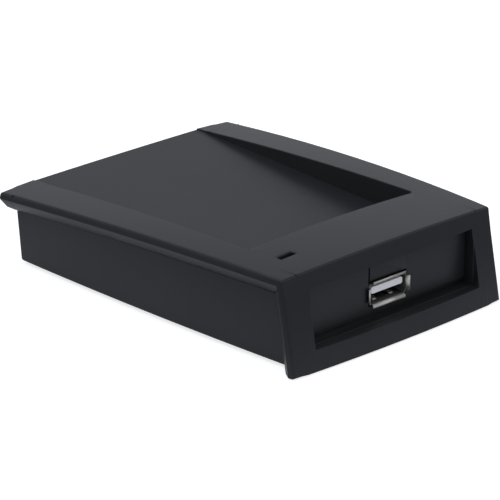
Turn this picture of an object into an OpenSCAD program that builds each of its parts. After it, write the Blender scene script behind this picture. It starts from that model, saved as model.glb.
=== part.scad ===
// Desktop smart card reader: crowned wedge cover with a sloped card well, drafted lower shell,
// USB type A socket in a recessed rear window, and the boards inside.
// Millimetres. X is the width, -Y the card entry end, +Y the socket end, Z up from the table.
// The origin is on the table under the middle of the whole outline.

/* [Cover outline] */
// Length from the front lip to the foot of the rear bezel
overall_len = 110; // [90:0.5:140]
// Width across the front corners
front_w = 80.8; // [60:0.1:110]
// Width across the rear top corners
rear_w = 73; // [55:0.1:100]
// How far each end of the bezel's foot stands out past the rear corner
foot_flare = 0.2; // [0:0.05:1]
// How far each long side bows out
side_bow = 1.05; // [0:0.05:3]
// How far the front edge bows out
front_bow = 0.42; // [0:0.02:2]
// How far the rear bezel bows out
rear_bow = 1.1; // [0:0.05:3]
// How far the bezel's foot stands out past its top edge
bezel_lean = 4.75; // [2:0.05:8]

/* [Cover heights] */
// Height of the top edge at the front corners
front_edge_z = 20.1; // [16:0.1:30]
// Height of the top edge at the rear corners
rear_edge_z = 25; // [20:0.1:36]
// Rise of the top between the long sides
crown_x = 1.2; // [0:0.05:3]
// Rise of the top between front and rear
crown_y = 1.25; // [0:0.05:3]
// Clearance of the bezel's foot above the table
bezel_foot_z = 0.35; // [0.2:0.05:2]
// Thickness of the cover
cover_t = 2.2; // [1.5:0.1:3]

/* [Lip round the cover] */
// Height of the lip's upright face
lip_face = 1.7; // [1:0.1:3]
// Outward lean of that face
lip_lean = 0.3; // [0:0.05:0.6]
// Height of the undercut below the face
lip_under = 2.4; // [1:0.1:4]
// How far the undercut goes in
lip_under_in = 1.1; // [0.5:0.05:2]
// Height of the ledge between undercut and shell wall
lip_ledge = 1.1; // [0.5:0.05:2]
// Inset of the shell wall from the lip
lip_inset = 2.7; // [2:0.1:5]
// Draft of the skirt's inner face
skirt_draft = 0.3; // [0.1:0.05:0.8]

/* [Card well] */
// Distance from the shell's inner face to the well's side, at the rear corners
well_in = 2.6; // [2:0.1:5]
// Distance from the well's tub to the socket
well_gap = 2.9; // [2:0.1:6]
// Height of the floor's front edge above the front corners
well_lip = 0.4; // [0:0.05:0.8]
// Room between the main board and the tub at the well's rear
well_room = 6.9; // [3:0.1:9]
// Radius of the rear corners
well_corner_r = 1; // [0.3:0.1:4]
// Wall of the well's tub
tub_t = 1.8; // [1.2:0.1:3]

/* [Status light] */
// Distance of the slot's outer end from the rear corner
slot_side = 8.8; // [6.5:0.1:12]
// Distance of the slot's middle from the rear top edge
slot_back = 10.2; // [8:0.05:12]
// Slot length
slot_w = 5.2; // [3:0.1:8]
// Slot width
slot_len = 1.9; // [1.4:0.1:4]
// Depth of the light pipe's face below the cover
pipe_depth = 0.9; // [0.2:0.1:2]

/* [Rear window] */
// Distance of the window's side from the rear corner
window_side = 7.75; // [6:0.05:15]
// Height of the window's sill above the bezel's foot
window_rise = 5.65; // [4:0.05:7]
// Drop of the window's head below the top edge
window_drop = 3.85; // [3.2:0.05:5]
// Place of the window's middle across the width
window_x = -0.4; // [-2:0.1:2]
// Wall of the frame behind the bezel
frame_t = 2; // [1.2:0.1:3]
// Flare of the window's outer part
window_flare = 0.3; // [0:0.05:1]
// Where the flare starts, from the rear wall's face
flare_from = 3.8; // [1:0.1:5]

/* [Lower shell] */
// Height of the shell's underside
shell_z = 0.8; // [0.5:0.1:3]
// Wall of the lower shell
wall_t = 2; // [1.5:0.1:3]
// Floor of the lower shell
floor_t = 2; // [1.5:0.1:3]
// Inset of the shell's wall at its foot
foot_inset = 3.4; // [2.5:0.1:6]
// Draft of the shell's walls, as a slope
wall_draft = 0.043; // [0:0.001:0.1]
// Radius of the shell's upright corners
shell_corner_r = 0.6; // [0.5:0.1:5]
// Rounding of the bottom edges
shell_edge_r = 0.8; // [0.5:0.1:4]
// Distance of the rear wall's face from the rear top edge
shell_back = 1.85; // [1.4:0.05:3]
// How far the socket panel stands out of the rear wall
panel_proud = 1; // [0.4:0.1:2]
// Height of the socket panel's lower edge above the window's sill
panel_rise = 1.3; // [0.2:0.1:2]

/* [Socket] */
// Offset of the socket from the middle plane
usb_x = -1; // [-12:0.1:12]
// Height of the socket's middle
usb_z = 12.03; // [11:0.01:14]
// Outer width of the socket's shell
usb_w = 13.1; // [12:0.01:14]
// Outer height of the socket's shell
usb_h = 5.7; // [5:0.01:6.2]
// Length of the socket's shell
usb_len = 14; // [12:0.1:18]
// Sheet of the socket's shell
usb_t = 0.3; // [0.2:0.01:0.4]
// How far the flared lips stand out
flare_out = 0.7; // [0.3:0.05:1]
// How far the lips stand off the panel
flare_gap = 0.55; // [0.1:0.05:1]
// How far each lip ends short of the shell's corners
flare_short = 0.9; // [0.6:0.05:1.6]

/* [Boards] */
// Gap between the main board's sides and the screw tubes
board_side_gap = 0.4; // [0.2:0.1:1]
// Length of the main board under the well
board_under = 19; // [15:0.5:24]
// Thickness of the main board
board_t = 1.6; // [1:0.1:2]
// Gap between the board and the rear wall
board_gap = 0.3; // [0.2:0.1:1]
// Gap between the antenna board's sides and the bosses
antenna_side_gap = 1.6; // [0.5:0.1:6]
// Distance of the antenna board from the front edge
antenna_in = 9.6; // [7:0.1:20]
// Thickness of the antenna board
antenna_t = 1; // [0.6:0.1:1.6]

/* [Fixings] */
// Radius of a rubber foot
pad_r = 4.5; // [3:0.1:6]
// Depth of the recess that a foot sits in
pad_recess = 0.4; // [0.2:0.1:0.8]
// Radius of a case screw's shank
case_screw_r = 1.2; // [1:0.05:1.4]
// Radius of a case screw's head
case_head_r = 2.5; // [2:0.1:3]
// Radius of a board screw's shank
board_screw_r = 0.9; // [0.7:0.05:1]
// Radius of a board screw's head
board_head_r = 1.9; // [1.5:0.1:2.2]

/* [Hidden] */
$fn = 48;
overrun = 1;
sheet = 0.01;

// Outline of the cover, worked out from the driving sizes
front_y = front_bow + lip_lean - overall_len / 2;
rear_y = overall_len / 2 - rear_bow - bezel_lean;
foot_w = rear_w + 2 * foot_flare;
shell_rear_y = rear_y - shell_back;
panel_y = shell_rear_y + panel_proud;
top_len = rear_y - front_y;
bezel_h = rear_edge_z - bezel_foot_z;
lip_drop = lip_face + lip_under + lip_ledge;
corner_run = 1.2 * lip_drop;
high_z = 2 * rear_edge_z;

function along(y) = (2 * y - front_y - rear_y) / top_len;
function half_w(y) =
    (front_w * (1 - along(y)) + rear_w * (1 + along(y))) / 4 + side_bow * (1 - pow(along(y), 2));
function edge_z(y) =
    front_edge_z + (rear_edge_z - front_edge_z) * (1 + along(y)) / 2 + crown_y * (1 - pow(along(y), 2));
function top_z(x, y) = edge_z(y) + crown_x * (1 - pow(x / half_w(y), 2));
function mix(a, b, share) = a + (b - a) * share;

// The cover's skin is one sheet that runs back along the top and down the bezel. Its columns step in
// from each long side, and its rows step in from the front, by the lip's profile.
rim_steps = [0, lip_under_in, lip_inset, lip_inset + wall_t, lip_inset + wall_t + skirt_draft];
rim_depths = [lip_face, lip_face + lip_under, lip_drop, lip_drop, cover_t];
rim_last = len(rim_steps) - 1;
inner_cols = 8;
top_rows = 10;
bezel_rows = 5;
last_col = 2 * rim_last + inner_cols;
corner_row = rim_last + top_rows + 1;
last_row = corner_row + bezel_rows;

function rim_of(j) = min(j, last_col - j, rim_last);
function row_y(i) =
    i <= rim_last ? front_y + rim_steps[i]
    : i < corner_row ? mix(front_y + rim_steps[rim_last], rear_y - corner_run, (i - rim_last) / top_rows)
    : rear_y;
function row_fall(i) =
    i <= corner_row ? 0 : mix(corner_run / bezel_h, 1, (i - corner_row - 1) / (bezel_rows - 1));
function row_half(i) = i <= corner_row ? half_w(row_y(i)) : mix(rear_w, foot_w, row_fall(i)) / 2;
function col_x(j, half) =
    j <= rim_last ? rim_steps[j] - half
    : j >= last_col - rim_last ? half - rim_steps[last_col - j]
    : (half - rim_steps[rim_last]) * (2 * (j - rim_last) / inner_cols - 1);
function bow_at(i, share) =
    (1 - share * share) * mix(-front_bow, rear_bow, (1 + along(row_y(i))) / 2);
function outer_point(i, j) =
    let (half = row_half(i), x = col_x(j, half), share = x / half, crown = crown_x * (1 - share * share))
    [
        x,
        row_y(i) + bezel_lean * row_fall(i) + bow_at(i, share),
        mix(edge_z(row_y(i)) + crown, bezel_foot_z, row_fall(i))
    ];
function rim_edge(i, depth) =
    i < corner_row ? [row_y(i), edge_z(row_y(i)) - depth]
    : i == corner_row ? [rear_y - depth * (1 - bezel_lean / bezel_h), rear_edge_z - depth]
    : [rear_y + bezel_lean * row_fall(i) - depth, mix(rear_edge_z, bezel_foot_z, row_fall(i))];
function inner_point(i, j) =
    let (
        rim = i <= corner_row ? min(rim_of(j), i) : rim_of(j),
        depth = rim_depths[rim],
        out = outer_point(i, j),
        edge = rim_edge(i, depth),
        side = j == 0 ? -1 : j == last_col ? 1 : 0,
        plate_y = i < corner_row ? 0 : i == corner_row ? depth * (1 - bezel_lean / bezel_h) : depth,
        plate_z = i <= corner_row ? depth : 0
    )
    rim == rim_last ? [out[0], out[1] - plate_y, out[2] - plate_z]
    : rim < 2 && i < 2 ? [out[0] + side * lip_lean, out[1] - (i == 0 ? lip_lean : 0), edge[1]]
    : [out[0] + side * lip_lean, edge[0], edge[1]];

cols = last_col + 1;
rows = last_row + 1;
function outer_id(i, j) = i * cols + j;
function inner_id(i, j) = (rows + i) * cols + j;
skin_points = concat(
    [for (i = [0 : last_row], j = [0 : last_col]) outer_point(i, j)],
    [for (i = [0 : last_row], j = [0 : last_col]) inner_point(i, j)]
);
// A cell is split along the diagonal that meets its nearer front corner, as a mitre does.
function cell(a, b, c, d, left) = left ? [[a, b, c], [a, c, d]] : [[a, b, d], [b, c, d]];
skin_faces = concat(
    [for (i = [0 : last_row - 1], j = [0 : last_col - 1])
        each cell(outer_id(i, j), outer_id(i + 1, j), outer_id(i + 1, j + 1), outer_id(i, j + 1),
            2 * j < last_col)],
    [for (i = [0 : last_row - 1], j = [0 : last_col - 1])
        each [for (f = cell(inner_id(i, j), inner_id(i + 1, j), inner_id(i + 1, j + 1),
            inner_id(i, j + 1), 2 * j < last_col)) [f[2], f[1], f[0]]]],
    [for (j = [0 : last_col - 1])
        each cell(outer_id(0, j), outer_id(0, j + 1), inner_id(0, j + 1), inner_id(0, j), true)],
    [for (j = [0 : last_col - 1])
        each cell(outer_id(last_row, j), inner_id(last_row, j), inner_id(last_row, j + 1),
            outer_id(last_row, j + 1), true)],
    [for (i = [0 : last_row - 1])
        each cell(outer_id(i, 0), inner_id(i, 0), inner_id(i + 1, 0), outer_id(i + 1, 0), true)],
    [for (i = [0 : last_row - 1])
        each cell(outer_id(i, last_col), outer_id(i + 1, last_col), inner_id(i + 1, last_col),
            inner_id(i, last_col), true)]
);

module cover_skin() {
    polyhedron(points = skin_points, faces = skin_faces, convexity = 6);
}

// A profile drawn in Y and Z, run across the width
module across(width, middle = 0) {
    translate([middle - width / 2, 0, 0])
        rotate([90, 0, 90])
            linear_extrude(height = width)
                children();
}

// Everything above and behind the seam between cover and shell
module above_seam() {
    seam = [for (i = [rim_last - 1 : last_row]) rim_edge(i, lip_drop)];
    across(2 * front_w)
        polygon(concat(
            [[front_y - overrun, seam[0][1]]],
            seam,
            [[overall_len, bezel_foot_z], [overall_len, high_z], [front_y - overrun, high_z]]
        ));
}

// Socket's place
usb_front_y = panel_y + flare_gap + usb_t;
usb_rear_y = usb_front_y - usb_len;
usb_top_z = usb_z + usb_h / 2;
usb_low_z = usb_z - usb_h / 2;
insulator_rear_out = 1.1;

// Card well, its floor falling to the room left over the main board
well_w = rear_w - 2 * (lip_inset + wall_t + well_in);
tub_rear_y = usb_rear_y - insulator_rear_out - well_gap;
well_rear_y = tub_rear_y - tub_t;
well_front_z = front_edge_z + well_lip;
well_low_z = usb_low_z + well_room + tub_t;
well_slope = (well_front_z - well_low_z) / (well_rear_y - front_y);
well_fall = atan(well_slope);
function floor_z(y) = well_front_z - well_slope * (y - front_y);

module well_plan(extra) {
    half = well_w / 2 + extra;
    rear = well_rear_y + extra;
    difference() {
        translate([-half, front_y - overrun])
            square([2 * half, rear - front_y + overrun]);
        for (side = [-1, 1])
            translate([side * half, rear])
                difference() {
                    square(2 * well_corner_r, center = true);
                    translate([-side * well_corner_r, -well_corner_r])
                        circle(r = well_corner_r);
                }
    }
}

module well_space() {
    intersection() {
        linear_extrude(height = high_z)
            well_plan(0);
        across(front_w)
            polygon([
                [front_y - overrun, floor_z(front_y - overrun)],
                [well_rear_y + overrun, floor_z(well_rear_y + overrun)],
                [well_rear_y + overrun, high_z],
                [front_y - overrun, high_z]
            ]);
    }
}

tub_front_y = front_y + lip_under_in;
function tub_under_z(y) = floor_z(y) - tub_t;

module well_tub() {
    intersection() {
        linear_extrude(height = high_z)
            well_plan(tub_t);
        across(front_w)
            polygon(concat(
                [[tub_front_y, tub_under_z(tub_front_y)], [tub_rear_y, tub_under_z(tub_rear_y)]],
                [for (n = [top_rows : -1 : 0])
                    let (y = mix(tub_front_y, tub_rear_y, n / top_rows)) [y, edge_z(y) - cover_t / 4]]
            ));
    }
}

// Rear window: a frame behind the bezel, closed by the shell's panel
fit_gap = 0.15;
window_w = rear_w - 2 * window_side;
window_sill_z = bezel_foot_z + window_rise;
window_head_z = rear_edge_z - window_drop;
function bezel_y(z) = rear_y + bezel_lean * (rear_edge_z - z) / bezel_h;
frame_y = shell_rear_y + fit_gap;
frame_low_z = window_sill_z - frame_t;
frame_high_z = window_head_z + frame_t;

module window_frame() {
    across(window_w + 2 * frame_t, window_x)
        polygon([
            [frame_y, frame_low_z],
            [bezel_y(frame_low_z) - cover_t / 3, frame_low_z],
            [bezel_y(frame_high_z) - cover_t / 3, frame_high_z],
            [frame_y, frame_high_z]
        ]);
}

module window_space() {
    window_h = window_head_z - window_sill_z;
    window_low_x = window_x - window_w / 2;
    translate([window_low_x, shell_rear_y, window_sill_z])
        cube([window_w, overall_len, window_h]);
    translate([window_low_x - window_flare, shell_rear_y + flare_from, window_sill_z - window_flare])
        cube([window_w + 2 * window_flare, overall_len, window_h + 2 * window_flare]);
}

// The cover's tongue fills the notch above the socket, with a slit on its +X side
tongue_slit = 0.4;
tongue_clear = 0.15;
tongue_low_z = usb_top_z + flare_out + tongue_clear;
notch_w = usb_w + 2 * fit_gap;
tongue_w = notch_w - tongue_slit;

module cover_tongue() {
    translate([usb_x - notch_w / 2, shell_rear_y - wall_t / 2, tongue_low_z])
        cube([tongue_w, wall_t / 2 + panel_proud, frame_high_z - tongue_low_z]);
    translate([usb_x - notch_w / 2, frame_y - wall_t / 2, window_head_z])
        cube([tongue_w, wall_t, frame_t]);
}

// Slot for the status light
slot_x = rear_w / 2 - slot_side - slot_w / 2;
slot_y = rear_y - slot_back;

// Bosses for the case screws hang from the tub
boss_r = 2.6;
boss_hole_r = case_screw_r + fit_gap;
boss_lift = 5;
boss_low_z = shell_z + boss_lift;
boss_x = well_w / 2 + tub_t - boss_r - fit_gap;
boss_front_in = 20.2;
boss_rear_in = 7.2;
boss_places = [for (y = [front_y + boss_front_in, well_rear_y - boss_rear_in], side = [-1, 1])
    [side * boss_x, y]];
case_grip = 4.6;

module cover_bosses() {
    for (p = boss_places)
        translate([p[0], p[1], boss_low_z])
            cylinder(r = boss_r, h = tub_under_z(p[1]) + tub_t / 2 - boss_low_z);
}

module upper_cover() {
    color([0.13, 0.14, 0.16])
        difference() {
            union() {
                difference() {
                    union() {
                        cover_skin();
                        well_tub();
                        window_frame();
                    }
                    window_space();
                }
                cover_tongue();
                cover_bosses();
            }
            well_space();
            for (p = boss_places)
                translate([p[0], p[1], boss_low_z - overrun])
                    cylinder(r = boss_hole_r, h = case_grip + overrun);
            translate([slot_x - slot_w / 2, slot_y - slot_len / 2, rear_edge_z - 2 * cover_t])
                cube([slot_w, slot_len, rear_edge_z]);
        }
}

// Lower shell: a drafted box with bowed sides, cut off at the seam
side_points = 12;

module shell_plan(inset, rear, corner) {
    right = [for (n = [0 : side_points])
        let (y = mix(front_y + inset, rear, n / side_points)) [half_w(y) - inset, y]];
    offset(r = corner, $fn = 24)
        offset(delta = -corner)
            polygon(concat(right, [for (n = [side_points : -1 : 0]) [-right[n][0], right[n][1]]]));
}

module shell_form(wall, low_z, edge) {
    top_inset = foot_inset - wall_draft * (rear_edge_z - shell_z);
    corner = max(shell_corner_r - wall, shell_corner_r / 4);
    hull() {
        for (turn = [0 : 30 : 90])
            translate([0, 0, low_z + edge * (1 - cos(turn))])
                linear_extrude(height = sheet)
                    shell_plan(foot_inset + wall + edge * (1 - sin(turn)),
                        shell_rear_y - wall - edge * (1 - sin(turn)), corner);
        translate([0, 0, rear_edge_z])
            linear_extrude(height = sheet)
                shell_plan(top_inset + wall, shell_rear_y - wall, corner);
    }
}

rear_wall_w = rear_w - 2 * rim_steps[rim_last] - 2 * fit_gap;
rear_wall_top = rear_edge_z - cover_t - tongue_slit;
shell_floor_z = shell_z + floor_t;

module rear_wall() {
    translate([-rear_wall_w / 2, shell_rear_y - wall_t, shell_floor_z - floor_t / 2])
        cube([rear_wall_w, wall_t, rear_wall_top - shell_floor_z + floor_t / 2]);
    translate([window_x - window_w / 2 + fit_gap, shell_rear_y - wall_t / 2, window_sill_z + panel_rise])
        cube([window_w - 2 * fit_gap, wall_t / 2 + panel_proud,
            window_head_z - window_sill_z - panel_rise - fit_gap]);
}

// Main board and what it stands on
screw_tube_r = 3.7;
board_w = 2 * (boss_x - screw_tube_r - board_side_gap);
board_top_z = usb_low_z;
board_low_z = board_top_z - board_t;
board_rear_y = shell_rear_y - wall_t - board_gap;
board_front_y = tub_rear_y - board_under;
board_len = board_rear_y - board_front_y;
led_rim_r = 1.9;
ear_out = slot_x + slot_w / 2 - board_w / 2 + board_gap;
ear_len = board_rear_y - slot_y + led_rim_r + board_gap;
post_r = 2.4;
post_shares = [[-0.86, 0.18], [0.86, 0.18], [-0.86, 0.88], [0.8, 0.88]];
function board_place(shares) = [shares[0] * board_w / 2, board_front_y + shares[1] * board_len];

case_head_h = 1.8;
case_seat = 1.2;
case_seat_z = boss_low_z - case_seat;

module shell_supports() {
    for (p = boss_places)
        translate([p[0], p[1], shell_floor_z - floor_t / 2])
            cylinder(r = screw_tube_r, h = boss_low_z - shell_floor_z + floor_t / 2);
    for (shares = post_shares)
        translate(concat(board_place(shares), shell_floor_z - floor_t / 2))
            cylinder(r = post_r, h = board_low_z - shell_floor_z + floor_t / 2);
}

pad_x_in = 1.25;
pad_y_in = 10.5;
pad_places = [for (y = [front_y + pad_y_in, rear_y - pad_y_in], side = [-1, 1])
    [side * (boss_x - pad_x_in), y]];

module lower_shell() {
    color([0.13, 0.14, 0.16])
        difference() {
            union() {
                difference() {
                    shell_form(0, shell_z, shell_edge_r);
                    shell_form(wall_t, shell_floor_z, shell_edge_r / 3);
                    above_seam();
                }
                rear_wall();
                shell_supports();
            }
            translate([usb_x - notch_w / 2, shell_rear_y - wall_t - overrun, usb_low_z - fit_gap])
                cube([notch_w, wall_t + panel_proud + 2 * overrun, rear_edge_z]);
            for (p = boss_places)
                translate([p[0], p[1], 0]) {
                    cylinder(r = case_screw_r + 2 * fit_gap, h = high_z);
                    cylinder(r = case_head_r + 2 * fit_gap, h = case_seat_z);
                }
            for (shares = post_shares)
                translate(concat(board_place(shares), shell_floor_z))
                    cylinder(r = board_screw_r + fit_gap, h = high_z);
            for (p = pad_places)
                translate([p[0], p[1], 0])
                    cylinder(r = pad_r + fit_gap, h = shell_z + pad_recess);
        }
}

// Light pipe and lamp under the slot
pipe_flange = 0.8;
pipe_flange_x = slot_x + slot_w / 2 + pipe_flange;
pipe_flange_z = top_z(pipe_flange_x, slot_y) - cover_t - fit_gap;
led_r = 1.5;
led_rim_h = 0.8;
led_stand = 2;
led_h = 4.4;
led_pin = 0.5;
led_hole_r = 0.5;
led_low_z = board_top_z + led_stand;
pipe_low_z = led_low_z + led_h + fit_gap;
pipe_top_z = top_z(slot_x + slot_w / 2, slot_y) - pipe_depth;

module light_pipe() {
    color([0.3, 0.32, 0.34]) {
        translate([slot_x - slot_w / 2 + fit_gap, slot_y - slot_len / 2 + fit_gap, pipe_low_z])
            cube([slot_w - 2 * fit_gap, slot_len - 2 * fit_gap, pipe_top_z - pipe_low_z]);
        translate([slot_x - slot_w / 2 - pipe_flange, slot_y - slot_len / 2 - pipe_flange,
            pipe_flange_z - pipe_flange])
            cube([slot_w + 2 * pipe_flange, slot_len + 2 * pipe_flange, pipe_flange]);
    }
}

module status_led() {
    color([0.85, 0.9, 0.85])
        translate([slot_x, slot_y, led_low_z]) {
            cylinder(r = led_rim_r, h = led_rim_h);
            cylinder(r = led_r, h = led_h - led_r);
            translate([0, 0, led_h - led_r])
                sphere(r = led_r);
        }
    color([0.8, 0.8, 0.8])
        for (side = [-1, 1])
            translate([slot_x + side * led_r / 2 - led_pin / 2, slot_y - led_pin / 2,
                board_low_z - led_pin])
                cube([led_pin, led_pin, led_low_z - board_low_z + 2 * led_pin]);
}

// Socket
tab_w = 2.4;
tab_share = 0.36;
tab_y = usb_rear_y + tab_share * usb_len;
spring_r = 0.6;
spring_w = 1.5;
spring_share = 0.23;
spring_x = spring_share * usb_w;
spring_up = 0.4;
spring_in = 2.5;

module usb_tube(inset, from_y, to_y) {
    translate([usb_x - usb_w / 2 + inset, from_y, usb_low_z + inset])
        cube([usb_w - 2 * inset, to_y - from_y, usb_h - 2 * inset]);
}

flare_bend = min(flare_gap, 0.8 * flare_out);
mouth_y = usb_front_y - flare_bend - usb_t;

// The bend of a lip, as seen from its end
function lip_arc(radius) = [for (turn = [0 : 15 : 90])
    [mouth_y - usb_front_y + radius * sin(turn), flare_bend - radius * cos(turn)]];
function backward(points) = [for (n = [len(points) - 1 : -1 : 0]) points[n]];

// One lip, bent out from the mouth's edge
module flare_lip(width) {
    root_y = mouth_y - usb_front_y - usb_t;
    translate([-width / 2, 0, 0])
        rotate([90, 0, 90])
            linear_extrude(height = width)
                polygon(concat(
                    [[root_y, -usb_t], [root_y, 0]],
                    lip_arc(flare_bend),
                    [[-usb_t, flare_out], [0, flare_out]],
                    backward(lip_arc(flare_bend + usb_t))
                ));
}

module usb_shell() {
    color([0.8, 0.81, 0.83])
        difference() {
            union() {
                usb_tube(0, usb_rear_y, mouth_y);
                translate([usb_x, usb_front_y, usb_top_z])
                    flare_lip(usb_w - 2 * flare_short);
                translate([usb_x, usb_front_y, usb_low_z])
                    rotate([0, 180, 0])
                        flare_lip(usb_w - 2 * flare_short);
                translate([usb_x + usb_w / 2, usb_front_y, usb_z])
                    rotate([0, 90, 0])
                        flare_lip(usb_h - 2 * flare_short);
                translate([usb_x - usb_w / 2, usb_front_y, usb_z])
                    rotate([0, -90, 0])
                        flare_lip(usb_h - 2 * flare_short);
                for (side = [-1, 1])
                    translate([usb_x + side * (usb_w - usb_t) / 2 - usb_t / 2, tab_y - tab_w / 2,
                        board_low_z - usb_t])
                        cube([usb_t, tab_w, usb_z - board_low_z]);
            }
            difference() {
                usb_tube(usb_t, usb_rear_y - overrun, usb_front_y + overrun);
                for (side = [-1, 1])
                    translate([usb_x + side * spring_x - spring_w / 2, usb_front_y - spring_in,
                        usb_low_z + usb_t - spring_r + spring_up])
                        rotate([0, 90, 0])
                            cylinder(r = spring_r, h = spring_w);
            }
        }
}

tongue_plate_w = usb_w - 2;
tongue_plate_t = 1.84;
tongue_top_gap = 0.75;
tongue_back = 1.1;
insulator_gap = 0.05;
insulator_block = 5;
plate_top_z = usb_top_z - usb_t - tongue_top_gap;
plate_low_z = plate_top_z - tongue_plate_t;
contact_w = 1;
contact_t = 0.25;
contact_shares = [-0.267, -0.076, 0.076, 0.267];
contact_xs = [for (share = contact_shares) share * usb_w];
contact_leg_y = usb_rear_y - insulator_rear_out / 2;
contact_leg = 0.5;
contact_back = 0.7;

module contact_strips() {
    for (x = contact_xs) {
        translate([usb_x + x - contact_w / 2, contact_leg_y - contact_leg / 2, plate_low_z - contact_t])
            cube([contact_w, usb_front_y - tongue_back - contact_back - contact_leg_y, contact_t]);
        translate([usb_x + x - contact_leg / 2, contact_leg_y - contact_leg / 2, board_low_z - contact_leg])
            cube([contact_leg, contact_leg, plate_low_z - board_low_z + contact_leg]);
    }
}

module usb_insulator() {
    color([0.93, 0.94, 0.96])
        difference() {
            union() {
                usb_tube(usb_t + insulator_gap, usb_rear_y - insulator_rear_out,
                    usb_rear_y + insulator_block);
                translate([usb_x - tongue_plate_w / 2, usb_rear_y, plate_low_z])
                    cube([tongue_plate_w, usb_len - tongue_back, tongue_plate_t]);
            }
            contact_strips();
        }
}

module usb_contacts() {
    color([0.85, 0.7, 0.35])
        contact_strips();
}

// Main board
pin_hole_r = 0.45;
link_pin = 0.6;
link_hole_r = 0.5;
link_shares = [[-0.12, 0.045], [-0.04, 0.045], [0.04, 0.045], [0.12, 0.045]];

module main_board() {
    color([0.1, 0.35, 0.2])
        translate([0, 0, board_low_z])
            linear_extrude(height = board_t)
                difference() {
                    union() {
                        translate([-board_w / 2, board_front_y])
                            square([board_w, board_len]);
                        translate([0, board_rear_y - ear_len])
                            square([board_w / 2 + ear_out, ear_len]);
                    }
                    for (shares = post_shares)
                        translate(board_place(shares))
                            circle(r = board_screw_r + fit_gap);
                    for (x = contact_xs)
                        translate([usb_x + x, contact_leg_y])
                            circle(r = pin_hole_r);
                    for (side = [-1, 1]) {
                        translate([usb_x + side * (usb_w - usb_t) / 2, tab_y])
                            square([3 * usb_t, tab_w + usb_t], center = true);
                        translate([slot_x + side * led_r / 2, slot_y])
                            circle(r = led_hole_r);
                    }
                    for (shares = link_shares)
                        translate(board_place(shares))
                            circle(r = link_hole_r);
                }
}

// Parts on the board keep their proportion to its tighter side, the low ones stay under the tub, and
// the tall ones stand behind the well, beside the socket
chip_w_share = 0.0208;
chip_len_share = 0.0303;
chip_unit = min(chip_w_share * board_w, chip_len_share * board_len);
tall_len_share = 0.0714;
tall_side_share = 0.0625;
tall_len = board_rear_y - tub_rear_y;
side_room = board_w / 2 - usb_w / 2 - abs(usb_x);
tall_unit = min(tall_len_share * tall_len, tall_side_share * side_room);
tall_room = rear_edge_z - cover_t - board_top_z;
function tall_place(side, shares) =
    [usb_x + side * (usb_w / 2 + shares[0] * side_room), tub_rear_y + shares[1] * tall_len];

// A rectangular part standing on the main board
module chip(place, size) {
    translate(concat(place - [size[0], size[1]] / 2, board_top_z))
        cube(size);
}

mcu_shares = [0.12, 0.36];
mcu_size = [10 * chip_unit, 10 * chip_unit, 0.2 * well_room];
lead_size = [1.2 * chip_unit, 0.35 * chip_unit, 0.09 * well_room];
lead_pitch = chip_unit;
leads_a_side = 8;

module microcontroller() {
    color([0.08, 0.08, 0.09])
        chip(board_place(mcu_shares), mcu_size);
}

module microcontroller_leads() {
    color([0.8, 0.8, 0.8])
        translate(concat(board_place(mcu_shares), board_top_z))
            for (turn = [0 : 90 : 270], n = [0 : leads_a_side - 1])
                rotate([0, 0, turn])
                    translate([mcu_size[0] / 2,
                        (n - (leads_a_side - 1) / 2) * lead_pitch - lead_size[1] / 2, 0])
                        cube(lead_size);
}

reader_shares = [-0.5, 0.36];
reader_size = [7 * chip_unit, 7 * chip_unit, 0.13 * well_room];

module reader_chip() {
    color([0.08, 0.08, 0.09])
        chip(board_place(reader_shares), reader_size);
}

crystal_place = tall_place(1, [0.49, 0.33]);
crystal_len = 11 * tall_unit;
crystal_w = 4.6 * tall_unit;
crystal_h = 0.25 * tall_room;
crystal_rim = 0.4 * tall_unit;

module crystal() {
    color([0.8, 0.81, 0.83])
        translate(concat(crystal_place, board_top_z)) {
            linear_extrude(height = crystal_rim)
                can_plan(crystal_rim);
            linear_extrude(height = crystal_h)
                can_plan(0);
        }
}

module can_plan(extra) {
    square([crystal_len - crystal_w, crystal_w + 2 * extra], center = true);
    for (side = [-1, 1])
        translate([side * (crystal_len - crystal_w) / 2, 0])
            circle(r = crystal_w / 2 + extra);
}

regulator_shares = [0.57, 0.5];
regulator_size = [6.5 * chip_unit, 3.5 * chip_unit, 0.23 * well_room];
regulator_tab = [3 * chip_unit, regulator_size[1] / 2 + 1.6 * chip_unit, 0.07 * well_room];

module regulator() {
    color([0.08, 0.08, 0.09]) {
        chip(board_place(regulator_shares), regulator_size);
        translate(concat(board_place(regulator_shares) - [regulator_tab[0] / 2, 0], board_top_z))
            cube(regulator_tab);
    }
}

bulk_place = tall_place(1, [0.33, 0.76]);
bulk_r = 2.5 * tall_unit;
bulk_h = 0.51 * tall_room;
bulk_base = [5.6 * tall_unit, 5.6 * tall_unit, 0.06 * tall_room];

module bulk_capacitor() {
    color([0.75, 0.76, 0.78]) {
        chip(bulk_place, bulk_base);
        translate(concat(bulk_place, board_top_z))
            cylinder(r = bulk_r, h = bulk_h);
    }
}

buzzer_place = tall_place(-1, [0.37, 0.46]);
buzzer_r = 4.7 * tall_unit;
buzzer_h = 0.62 * tall_room;
buzzer_hole_r = tall_unit;

module buzzer() {
    color([0.07, 0.07, 0.07])
        translate(concat(buzzer_place, board_top_z))
            difference() {
                cylinder(r = buzzer_r, h = buzzer_h);
                translate([0, 0, buzzer_h / 2])
                    cylinder(r = buzzer_hole_r, h = buzzer_h);
            }
}

cap_size = [2 * chip_unit, 1.25 * chip_unit, 0.15 * well_room];
cap_shares = [[-0.2, 0.2], [-0.2, 0.3], [-0.2, 0.4], [-0.2, 0.5], [0.46, 0.2], [0.46, 0.3],
    [-0.8, 0.3], [-0.8, 0.4], [-0.8, 0.5], [-0.8, 0.6]];

module smd_capacitors() {
    color([0.62, 0.5, 0.36])
        for (shares = cap_shares)
            chip(board_place(shares), cap_size);
}

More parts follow.
